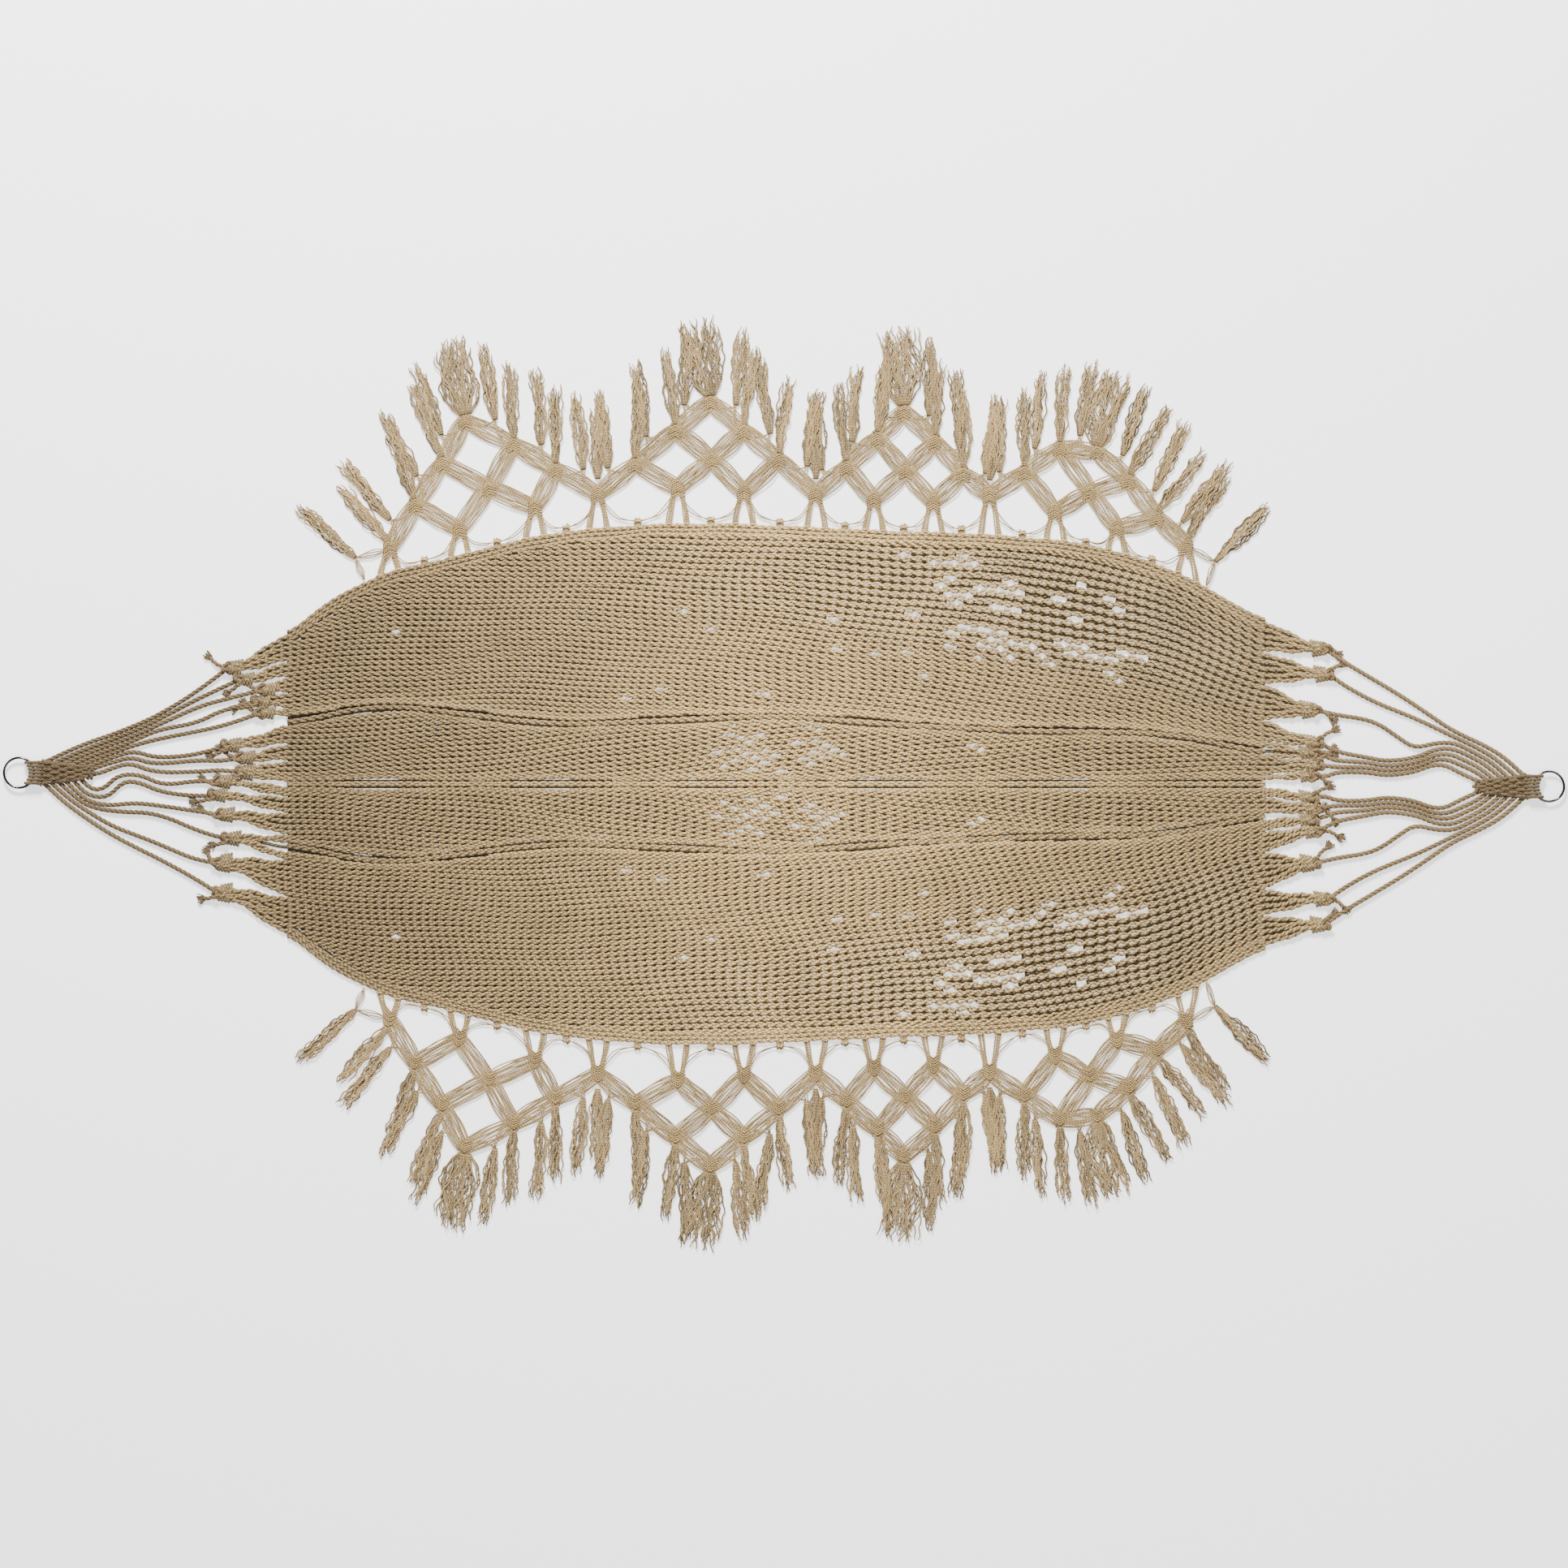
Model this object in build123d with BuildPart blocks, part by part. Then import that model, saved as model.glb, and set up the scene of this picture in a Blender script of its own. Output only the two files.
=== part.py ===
from build123d import *
from math import asin, atan2, cos, degrees, hypot, pi, radians, tan
import os

# Rope hammock, lying spread out flat, in millimetres.
# The origin is on the ground under the middle of the bed: +X runs along the bed
# towards the right-hand ring, +Y towards the back edge and +Z up.

# ---------------------------------------------------------------- sizes
ring_outside = 52.0  # welded steel ring
ring_wire = 4.0
rope = 6.0  # laid cotton rope of the clews
rope_bights = 7  # ropes doubled round each ring
bight_pitch = 5.5  # the bights are pressed together on the ring
bight_clearance = 0.4  # rope to ring wire
bight_gap = 0.02  # between two bights
strip_length = 88.0  # woven part of a clew
strip_thickness = 12.0
strip_width = 40.0  # at the ring
strip_tip_width = 16.0
turn_clearance = 0.4  # between pieces that swing past each other
bed_thickness = 8.0
fringe_thickness = 6.0
band_width = 18.0  # a band of fringe threads
fringe_knot = 24.0
link_width = 5.0  # a pair of threads
edge_tie = 14.0
tassel_root = 8.0
tassel_width = 22.0
tassel_tip = 15.0
tassel_length = 128.0
tassel_root_out = 22.0  # where a tassel between two knots is tied
leg_knot = 15.0
tail_gap = 0.6  # leg to tail at the swing line
tab_tip = 9.0

left_ring_x = -1224.0
left_ring_y = 18.0
right_ring_x = 1224.0
right_ring_y = -4.0
left_swing_x = -965.0  # lines about which the clews swing up
right_swing_x = 905.0
fringe_swing_y = 428.0  # line about which each fringe hangs down

left_end_x = -795.0  # where the net is divided into tabs
right_end_x = 770.0

# ---------------------------------------------------------------- shape of the bed
back_edge = [
    (-795, 241),
    (-736, 288),
    (-684, 318),
    (-632, 340),
    (-528, 364),
    (-424, 391),
    (-346, 405),
    (-216, 416),
    (-86, 417),
    (44, 411),
    (174, 405),
    (304, 401),
    (434, 391),
    (499, 381),
    (564, 363),
    (629, 340),
    (694, 304),
    (770, 262),
]

# knots on the tabs of the bed, from the back to the front, and the middle and width of each tab
# where it leaves the net
left_knots = [
    (-890, 186),
    (-872, 167),
    (-836, 151),
    (-846, 132),
    (-838, 114),
    (-893, 62),
    (-871, 42),
    (-871, 19),
    (-907, 4),
    (-915, -18),
    (-903, -49),
    (-893, -87),
    (-907, -126),
    (-907, -174),
]
left_tabs = [216, 187, 162, 136, 110, 77, 48, 20, -7, -35, -67, -104, -150, -208]
left_tab_widths = [48, 26, 24, 24, 26, 30, 27, 26, 26, 28, 34, 40, 50, 62]
right_knots = [
    (866, 217),
    (872, 176),
    (850, 119),
    (856, 67),
    (848, 49),
    (856, 31),
    (848, 13),
    (848, -21),
    (856, -39),
    (848, -57),
    (856, -75),
    (850, -127),
    (872, -184),
    (866, -225),
]
right_tabs = [236, 186, 130, 80, 54, 29, 7, -15, -37, -62, -88, -138, -192, -236]
right_tab_widths = [50, 46, 44, 27, 24, 24, 20, 20, 24, 24, 27, 44, 46, 50]

# ---------------------------------------------------------------- routes of the ropes
# Each leg runs from inside the woven strip to the swing line; its tail goes on to its knot.
left_legs = [
    [(-1187, 33), (-1155, 49), (-1115, 66), (-1076, 79), (-1040, 93), (-1000, 111), (-965, 127)],
    [(-1174, 31), (-1144, 45), (-1112, 58.5), (-1077, 71), (-1040, 85.5), (-1001, 103), (-965, 119)],
    [(-1162, 29), (-1134, 41.5), (-1106, 53.5), (-1074, 65), (-1040, 77.5), (-1001, 95), (-965, 111)],
    [(-1150, 27.5), (-1125, 38), (-1099, 49), (-1070, 58.5), (-1040, 70), (-1002, 87), (-965, 103)],
    [(-1138, 26), (-1115, 34.7), (-1088, 45.5), (-1064, 54), (-1035, 63.5), (-998, 73), (-965, 65)],
    [(-1126, 24), (-1103, 32), (-1075, 43), (-1040, 53.5), (-1004, 41), (-965, 39.5)],
    [(-1118, 20), (-1097, 28), (-1074, 35), (-1044, 43.5), (-1010, 31), (-965, 30.5)],
    [(-1113, 14), (-1094, 17.5), (-1074, 26), (-1046, 34), (-1008, 18), (-965, 9)],
    [(-1130, 12), (-1112, -8), (-1090, -9), (-1066, 15), (-1031, 15.5), (-994, -2.5), (-965, -6)],
    [(-1141, 10), (-1124, -11), (-1104, -21), (-1081, -20), (-1057, 5), (-1030, 2), (-998, -13),
     (-965, -15)],
    [(-1153, 8), (-1132, -14), (-1108, -30), (-1080, -34.5), (-1040, -30), (-1003, -34), (-965, -25)],
    [(-1165, 7), (-1140, -17), (-1111, -37.5), (-1063, -45), (-1003, -46), (-965, -59)],
    [(-1177, 6), (-1150, -20), (-1112, -46), (-1072, -69), (-1031, -84), (-996, -98), (-965, -115)],
    [(-1187, 4), (-1160, -23), (-1123, -51), (-1079, -80), (-1031, -105), (-996, -122), (-965, -140)],
]
left_tails = [
    [(-936, 150)],
    [(-934, 139)],
    [(-930, 127), (-888, 137)],
    [(-938, 98), (-900, 119)],
    [(-930, 86), (-884, 97)],
    [(-930, 48)],
    [(-932, 38.5), (-900, 36)],
    [(-932, 20), (-900, 23)],
    [(-938, 6)],
    [(-940, -20)],
    [(-936, -44)],
    [(-925, -81)],
    [(-936, -124)],
    [(-936, -155)],
]
right_back_legs = [
    [(1187, 11), (1160, 38), (1124, 61), (1072, 84), (1030, 113), (988, 141), (946, 166), (905, 190)],
    [(1174, 10), (1146, 36), (1112, 57), (1072, 75.5), (1016, 103), (960, 125), (930, 139), (905, 149)],
    [(1161, 8.5), (1136, 33), (1105, 50), (1074, 66), (1044, 66), (1010, 57), (984, 74), (956, 94),
     (930, 104), (905, 109)],
    [(1151, 7), (1127, 28.5), (1098, 44.5), (1070, 57), (1044, 56), (1012, 42), (965, 36), (931, 43),
     (905, 44)],
    [(1139, 5.5), (1116, 25), (1091, 37), (1067, 48), (1042, 47), (1011, 34), (965, 28), (931, 35),
     (905, 36)],
    [(1129, 4), (1109, 19), (1086, 29), (1062, 39.5), (1039, 38.5), (1010, 26.5), (965, 20.5),
     (931, 27), (905, 28)],
    [(1118, 2), (1100, 9.5), (1080, 19), (1058, 30.5), (1036, 30), (1008, 18.5), (965, 13), (931, 19),
     (905, 20)],
]
right_back_tails = [
    [(890, 199)],
    [(890, 162)],
    [(880, 111)],
    [(880, 52)],
    [(884, 37), (868, 44)],
    [(882, 26)],
    [(884, 19), (868, 11)],
]
clew_mirror = 2 * right_ring_y  # the right clew is the same on both sides of its own middle


def other_side(points):
    """The same points on the front side of the right clew."""
    return [(x, clew_mirror - y) for x, y in points]


right_legs = right_back_legs + [other_side(p) for p in reversed(right_back_legs)]
right_tails = right_back_tails + [other_side(p) for p in reversed(right_back_tails)]

# ---------------------------------------------------------------- knots of the back fringe
# Four stepped triangles: the rows of 4, 3, 2 and 1 knots of each.
triangles = [
    [
        [(-632, 376), (-520, 408), (-399, 443), (-298, 464)],
        [(-591, 447), (-473, 474), (-366, 504)],
        [(-547, 514), (-433, 544)],
        [(-511, 582)],
    ],
    [
        [(-298, 464), (-170, 474), (-64, 467), (51, 464)],
        [(-238, 512), (-116, 520), (-8, 520)],
        [(-174, 566), (-64, 566)],
        [(-118, 612)],
    ],
    [
        [(51, 464), (144, 455), (239, 451), (329, 462)],
        [(100, 508), (195, 502), (287, 497)],
        [(150, 554), (242, 549)],
        [(192, 597)],
    ],
    [
        [(329, 462), (434, 436), (533, 410), (645, 380)],
        [(385, 499), (490, 468), (598, 426)],
        [(442, 538), (553, 486)],
        [(501, 532)],
    ],
]
leg_spread = 15.0  # the two short legs of a knot beside the bed
tassel_lean = 44.0  # degrees, at the far ends of the fringe
fringe_half_length = 680.0

os.makedirs("parts", exist_ok=True)
node_count = 0


def save(part, label):
    """Label a finished piece and write it."""
    global node_count
    part.label = label
    export_step(part, f"parts/{label}.step")
    node_count += 1


# ---------------------------------------------------------------- rope along a route
rope_half = rope / 2
lowest_radius = 1e9
longest_error = 0.0


def corner_radii(points):
    """As large an arc at each point as its two runs allow."""
    radii = []
    for before, here, after in zip(points, points[1:], points[2:]):
        run_in = hypot(here[0] - before[0], here[1] - before[1])
        run_out = hypot(after[0] - here[0], after[1] - here[1])
        heading_in = atan2(here[1] - before[1], here[0] - before[0])
        heading_out = atan2(after[1] - here[1], after[0] - here[0])
        turn = abs((degrees(heading_out - heading_in) + 180) % 360 - 180)
        radii.append(0.45 * min(run_in, run_out) / tan(radians(turn) / 2))
    return radii


def rope_run(points):
    """A rope lying on the ground along a route."""
    global lowest_radius, longest_error
    flat = [(x, y, rope_half) for x, y in points]
    radii = corner_radii(points)
    with BuildPart() as run:
        with BuildLine() as path:
            if len(flat) == 2:
                Line(*flat)
            else:
                FilletPolyline(*flat, radius=radii)
        with BuildSketch(Plane(origin=path.line @ 0, z_dir=path.line % 0)):
            Circle(rope_half)
        sweep()
    length = path.wires()[0].length
    volume = pi * rope_half**2 * length
    lowest_radius = min([lowest_radius] + radii)
    print("rope of", round(length), "mm, bends", *[round(r) for r in radii])
    longest_error = max(longest_error, abs(run.part.volume / volume - 1))
    return run.part


# ---------------------------------------------------------------- rings
def make_ring(label, x, y):
    """A welded ring, held level at the middle of its bights."""
    with BuildPart(Plane.XY.offset(ring_z)) as ring:
        with Locations((x, y)):
            Torus(ring_radius, ring_wire / 2)
    save(ring.part, label)


ring_radius = (ring_outside - ring_wire) / 2
bight_bend = ring_wire / 2 + bight_clearance + rope_half  # to the middle of the rope
ring_z = bight_bend + rope_half
bight_rows = [bight_pitch * (i - (rope_bights - 1) / 2) for i in range(rope_bights)]
strip_start = ring_radius + bight_bend + rope_half + turn_clearance

make_ring("left_ring", left_ring_x, left_ring_y)
make_ring("right_ring", right_ring_x, right_ring_y)


# ---------------------------------------------------------------- bights on the rings
def make_bights(label, x, y, side):
    """Seven closed loops of rope over the ring wire, side by side."""
    half_opening = bight_bend - rope_half
    with BuildPart() as bights:
        for row in bight_rows:
            outer = abs(row) + bight_pitch / 2
            chord = (ring_radius**2 - outer**2) ** 0.5
            slant = ring_wire / 2 / cos(asin(outer / ring_radius))
            first = x + side * (chord - slant - bight_clearance + half_opening)
            last = x + side * ring_radius
            with BuildSketch(Plane.XZ.offset(-(y + row + bight_pitch / 2))):
                with Locations(((first + last) / 2, ring_z)):
                    SlotOverall(abs(last - first) + 2 * (half_opening + rope), 2 * (half_opening + rope))
                    SlotOverall(abs(last - first) + 2 * half_opening, 2 * half_opening, mode=Mode.SUBTRACT)
            extrude(amount=bight_pitch - bight_gap)
    save(bights.part, label)


make_bights("left_ring_bights", left_ring_x, left_ring_y, 1)
make_bights("right_ring_bights", right_ring_x, right_ring_y, -1)


# ---------------------------------------------------------------- woven strips of the clews
def make_strip(label, x, y, side):
    """The ropes woven into a flat strip that narrows away from the ring."""
    start = x + side * strip_start
    tip = start + side * strip_length
    with BuildPart() as strip:
        with BuildSketch():
            Polygon(
                (start, y - strip_width / 2),
                (tip, y - strip_tip_width / 2),
                (tip, y + strip_tip_width / 2),
                (start, y + strip_width / 2),
                align=None,
            )
        extrude(amount=strip_thickness)
    save(strip.part, label)
    return strip.part


left_strip = make_strip("left_clew_weave", left_ring_x, left_ring_y, 1)
right_strip = make_strip("right_clew_weave", right_ring_x, right_ring_y, -1)


# ---------------------------------------------------------------- legs of the clews
def make_legs(side, routes, strip):
    """The legs from the strip to the swing line, each with a round end on that line."""
    for i, route in enumerate(routes):
        with BuildPart() as leg:
            add(rope_run(route))
            with Locations((route[-1][0], route[-1][1], rope_half)):
                Sphere(rope_half)
            add(strip, mode=Mode.SUBTRACT)
        save(leg.part, f"{side}_leg_{i + 1:02d}")


make_legs("left", left_legs, left_strip)
make_legs("right", right_legs, right_strip)


# ---------------------------------------------------------------- knots and tails at the bed
def make_knots(label, knots):
    """Overhand knots by which the legs are tied to the bed."""
    with BuildPart(Plane.XY.offset(leg_knot / 2)) as balls:
        with Locations(*knots):
            Sphere(leg_knot / 2)
    save(balls.part, label)
    return balls.part


def make_tails(label, legs, tails, knots, balls):
    """The rest of each leg, from the swing line into its knot."""
    with BuildPart() as ends:
        for leg, tail, knot in zip(legs, tails, knots):
            start = leg[-1]
            points = tail + [knot]
            far = hypot(points[0][0] - start[0], points[0][1] - start[1])
            gap = (rope_half + tail_gap) / far
            near = tuple(a + (b - a) * gap for a, b in zip(start, points[0]))
            add(rope_run([near] + points))
        add(balls, mode=Mode.SUBTRACT)
    save(ends.part, label)


left_balls = make_knots("left_leg_knots", left_knots)
right_balls = make_knots("right_leg_knots", right_knots)
make_tails("left_leg_tails", left_legs, left_tails, left_knots, left_balls)
make_tails("right_leg_tails", right_legs, right_tails, right_knots, right_balls)


# ---------------------------------------------------------------- bed
def tab(end_x, middle, width, knot):
    """A gathered tab of the net, from its end to a knot."""
    direction = 1 if knot[0] > end_x else -1
    root = end_x - 4 * direction
    Polygon(
        (root, middle - width / 2),
        (end_x, middle - width / 2),
        (knot[0], knot[1] - tab_tip / 2),
        (knot[0], knot[1] + tab_tip / 2),
        (end_x, middle + width / 2),
        (root, middle + width / 2),
        align=None,
    )


with BuildSketch() as bed_outline:
    with BuildLine() as edge:
        back = Spline(*back_edge)
        mirror(back, about=Plane.XZ)
        for x, y in (back_edge[0], back_edge[-1]):
            Line((x, y), (x, -y))
    make_face()
    for middle, width, knot in zip(left_tabs, left_tab_widths, left_knots):
        tab(left_end_x, middle, width, knot)
    for middle, width, knot in zip(right_tabs, right_tab_widths, right_knots):
        tab(right_end_x, middle, width, knot)

with BuildPart() as bed_net:
    add(bed_outline.sketch)
    extrude(amount=bed_thickness)
    add(left_balls, mode=Mode.SUBTRACT)
    add(right_balls, mode=Mode.SUBTRACT)
save(bed_net.part, "bed_net")


# ---------------------------------------------------------------- fringe
def band(a, b, width):
    """A straight band of threads between two points."""
    angle = degrees(atan2(b[1] - a[1], b[0] - a[0]))
    with Locations(Location(((a[0] + b[0]) / 2, (a[1] + b[1]) / 2, 0), (0, 0, angle))):
        Rectangle(hypot(b[0] - a[0], b[1] - a[1]), width)


def outer_knots(rows):
    """The knots along the stepped outer side of a triangle, and round its top."""
    rising = [row[0] for row in rows]
    falling = [row[-1] for row in reversed(rows[:-1])]
    return rising + falling


def between(a, b):
    """Where the tassel between two outer knots is tied, clear of the band."""
    length = hypot(b[0] - a[0], b[1] - a[1])
    return (
        (a[0] + b[0]) / 2 - (b[1] - a[1]) / length * tassel_root_out,
        (a[1] + b[1]) / 2 + (b[0] - a[0]) / length * tassel_root_out,
    )


def tassel(root, length):
    """A bundle of loose threads, leaning outwards near the ends of the fringe."""
    lean = radians(tassel_lean) * (root[0] / fringe_half_length) ** 3
    with Locations(Location((root[0], root[1], 0), (0, 0, -degrees(lean)))):
        Polygon(
            (-tassel_root / 2, 0),
            (tassel_root / 2, 0),
            (tassel_width / 2, length * 0.45),
            (tassel_tip / 2, length),
            (-tassel_tip / 2, length),
            (-tassel_width / 2, length * 0.45),
            align=None,
        )


def edge_height(x):
    """Height of the back edge of the bed at x, between its points."""
    for (x0, y0), (x1, y1) in zip(back_edge, back_edge[1:]):
        if x0 <= x <= x1:
            return y0 + (y1 - y0) * (x - x0) / (x1 - x0)


base_knots = triangles[0][0] + [k for rows in triangles[1:] for k in rows[0][1:]]
end_ties = [(-672, 327), (676, 317)]  # where the last tassels are tied to the bed
end_roots = [(-686, 362), (690, 356)]

lattices = []
for rows in triangles:
    with BuildSketch() as lattice:
        for lower, upper in zip(rows, rows[1:]):
            for i, knot in enumerate(upper):
                band(lower[i], knot, band_width)
                band(lower[i + 1], knot, band_width)
        chain = outer_knots(rows)
        for a, b in zip(chain, chain[1:]):
            root = between(a, b)
            for share in (0.3, 0.7):
                band((a[0] + (b[0] - a[0]) * share, a[1] + (b[1] - a[1]) * share), root, link_width)
            with Locations(root):
                Circle(link_width)
        with Locations(*[knot for row in rows for knot in row]):
            Circle(fringe_knot / 2)
        with Locations(*rows[0]):
            Circle(fringe_knot / 2 + 1)
    lattices.append(lattice.sketch)

with BuildSketch() as base:
    for x, y in base_knots:
        for step in (-leg_spread, leg_spread):
            band((x + step / 4, y), (x + step, edge_height(x + step) - 4), link_width * 1.6)
    for a, b in zip(base_knots, base_knots[1:]):
        middle = (a[0] + b[0]) / 2
        tie = (middle, edge_height(middle) + edge_tie / 2)
        band(a, tie, link_width)
        band(b, tie, link_width)
        band(tie, (middle, edge_height(middle) - 4), edge_tie / 2)
        with Locations(tie):
            Circle(edge_tie / 2)
    for tie, root, knot in zip(end_ties, end_roots, (base_knots[0], base_knots[-1])):
        band(tie, root, link_width)
        band(knot, root, link_width)
        with Locations(root):
            Circle(link_width)

valleys = [rows[0][-1] for rows in triangles[:-1]]
tassel_sketches = []
inner_roots = list(end_roots)
taken = None
for i, rows in enumerate(triangles):
    chain = outer_knots(rows)
    roots = [between(a, b) for a, b in zip(chain, chain[1:])]
    roots += [(x, y + fringe_knot / 2 - 3) for x, y in chain[1:-1]]
    roots += [(x, y + fringe_knot) for x, y in valleys[i:i + 1]]
    outboard = [r for r in roots if r[1] > fringe_swing_y - rope]
    inner_roots += [r for r in roots if r not in outboard]
    with BuildSketch() as bundles:
        for root in outboard:
            tassel(root, tassel_length)
        for other in lattices:
            add(other, mode=Mode.SUBTRACT)
        if taken:
            add(taken, mode=Mode.SUBTRACT)
    tassel_sketches.append(bundles.sketch)
    with BuildSketch() as together:
        if taken:
            add(taken)
        add(bundles.sketch)
    taken = together.sketch

inner_roots += [(x, y + fringe_knot / 2 - 3) for x, y in (base_knots[0], base_knots[-1])]
with BuildSketch() as moving:
    for other in lattices:
        add(other)
    add(taken)
    offset(amount=turn_clearance)
with BuildSketch() as end_bundles:
    for root in inner_roots:
        tassel(root, tassel_length)
    add(moving.sketch, mode=Mode.SUBTRACT)
    add(base.sketch, mode=Mode.SUBTRACT)

fringe_half = fringe_thickness / 2
swing_line = Plane.YZ.offset(-fringe_half_length * 2)


def write_both(part, name):
    """Write a piece of the back fringe and its mirror image in the front fringe."""
    save(part, f"back_{name}")
    save(mirror(part, about=Plane.XZ), f"front_{name}")


with BuildPart() as outboard_space:
    with BuildSketch(swing_line):
        with Locations((fringe_swing_y + 250, fringe_half)):
            Rectangle(500, fringe_thickness * 2)
        with Locations((fringe_swing_y, fringe_half)):
            Circle(fringe_half)
    extrude(amount=fringe_half_length * 4)

with BuildPart() as inboard_space:
    with BuildSketch(swing_line):
        with Locations((fringe_swing_y - fringe_half - turn_clearance - 250, fringe_half)):
            Rectangle(500, fringe_thickness * 2)
    extrude(amount=fringe_half_length * 4)

# a shared knot belongs to the triangle before it
rows_start = [-fringe_half_length * 2] + [rows[0][-1][0] + fringe_knot for rows in triangles]
rows_start[-1] = fringe_half_length * 2

earlier = None
for i, (lattice, bundles) in enumerate(zip(lattices, tassel_sketches)):
    start = rows_start[i]
    with BuildSketch() as own_base:
        add(base.sketch)
        with Locations(((start + rows_start[i + 1]) / 2, fringe_swing_y)):
            Rectangle(rows_start[i + 1] - start, fringe_half_length, mode=Mode.INTERSECT)
    with BuildSketch() as own:
        add(lattice)
        if earlier:
            add(earlier, mode=Mode.SUBTRACT)
        add(own_base.sketch)
    with BuildSketch() as so_far:
        if earlier:
            add(earlier)
        add(lattice)
        add(base.sketch)
    with BuildPart() as net:
        add(own.sketch)
        extrude(amount=fringe_thickness)
        add(outboard_space.part, mode=Mode.INTERSECT)
    earlier = so_far.sketch
    write_both(net.part, f"fringe_{i + 1}")
    with BuildPart() as loose:
        add(bundles)
        extrude(amount=fringe_thickness)
        add(outboard_space.part, mode=Mode.INTERSECT)
    write_both(loose.part, f"tassels_{i + 1}")

with BuildPart() as ties:
    add(earlier)
    extrude(amount=fringe_thickness)
    add(inboard_space.part, mode=Mode.INTERSECT)
    add(bed_net.part, mode=Mode.SUBTRACT)
write_both(ties.part, "fringe_ties")

with BuildPart() as ends:
    add(end_bundles.sketch)
    extrude(amount=fringe_thickness)
write_both(ends.part, "end_tassels")

print(f"nodes {node_count}, smallest bend {lowest_radius:.1f}, volume error {longest_error:.4f}")
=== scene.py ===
import math

import bpy
import numpy as np
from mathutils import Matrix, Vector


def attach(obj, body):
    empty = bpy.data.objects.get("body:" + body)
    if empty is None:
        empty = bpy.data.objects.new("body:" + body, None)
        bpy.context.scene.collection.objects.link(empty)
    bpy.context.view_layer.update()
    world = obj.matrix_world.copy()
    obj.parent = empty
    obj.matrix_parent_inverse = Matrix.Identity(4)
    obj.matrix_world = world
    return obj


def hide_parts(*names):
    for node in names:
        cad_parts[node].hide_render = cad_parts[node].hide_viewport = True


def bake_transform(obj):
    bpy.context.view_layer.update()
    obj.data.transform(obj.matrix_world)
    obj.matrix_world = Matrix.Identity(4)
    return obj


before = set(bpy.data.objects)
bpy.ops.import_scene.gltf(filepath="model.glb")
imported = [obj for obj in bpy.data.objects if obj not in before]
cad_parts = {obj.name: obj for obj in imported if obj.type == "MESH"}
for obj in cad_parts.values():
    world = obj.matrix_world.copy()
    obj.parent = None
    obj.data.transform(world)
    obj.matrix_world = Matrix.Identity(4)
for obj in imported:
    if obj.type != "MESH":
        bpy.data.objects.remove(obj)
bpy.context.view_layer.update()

# ---------------------------------------------------------------- bed net
# The bed is a net of two-strand twisted rows of soft cotton cord, looped to each other row by row.
# It lies on the ground with its rows side by side, a little open in places where they have slipped,
# and gathered along a long soft fold on each side of the middle.
back_edge = [
    (-795, 241), (-736, 288), (-684, 318), (-632, 340), (-528, 364), (-424, 391), (-346, 405),
    (-216, 416), (-86, 417), (44, 411), (174, 405), (304, 401), (434, 391), (499, 381),
    (564, 363), (629, 340), (694, 304), (770, 262),
]
left_end_x, right_end_x = -795, 770
row_pitch = 8.6  # from row to row, mm
strand_width, strand_thick = 5.1, 4.1
strand_swing = 2.7  # how far each strand of a row swings to the side
strand_lift = 1.7  # and over and under the other
row_height = 4.4  # middle of a row above the ground
loop_width, loop_thick = 5.4, 3.0  # the loops that tie the rows, which lie deeper
loop_shade = 0.5  # how much darker they are, in the shadow of the rows
loop_drop = 2.6
row_stagger = 0.36  # turn from each row to the next, in radians
ring_step = 5.2  # between two rings of a strand's mesh
random = np.random.default_rng(11)
mm = 0.001


def strand(bundle, path, width, thick, up, sides=5, shade=1.0):
    """Adds to a bundle a closed tube of oval section along a path of points, in millimetres."""
    path = np.asarray(path, float)
    along = np.gradient(path, axis=0)
    along /= np.linalg.norm(along, axis=1)[:, None]
    side = np.cross(np.broadcast_to(up, path.shape), along)
    side /= np.linalg.norm(side, axis=1)[:, None]
    top = np.cross(along, side)
    turn = np.arange(sides) * 2 * np.pi / sides
    half_width = np.broadcast_to(np.asarray(width, float) / 2, len(path))[:, None, None]
    half_thick = np.broadcast_to(np.asarray(thick, float) / 2, len(path))[:, None, None]
    across, upward = np.cos(turn)[None, :, None], np.sin(turn)[None, :, None]
    rings = path[:, None] + side[:, None] * half_width * across + top[:, None] * half_thick * upward
    run = np.concatenate([[0], np.cumsum(np.linalg.norm(np.diff(path, axis=0), axis=1))])
    fibre = np.stack(np.broadcast_arrays(across[..., 0], upward[..., 0], run[:, None] * mm), axis=-1)
    # what lies deep between other cords is painted darker, a painted shade, and the crowns higher up are
    # painted lighter, a painted highlight
    painted_depth_shade = np.interp(rings[..., 2], [1.0, 4.3, 7.6], [0.30, 0.74, 1.16])
    shades = painted_depth_shade * np.broadcast_to(np.asarray(shade, float), len(path))[:, None]
    bundle.append((rings, fibre, shades))
    return run[-1]


def front_copy(bundle):
    """The same bundle on the other side of the middle of the bed."""
    return [(rings[:, ::-1] * (1, -1, 1), fibre[:, ::-1], shades[:, ::-1]) for rings, fibre, shades in bundle]


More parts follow.
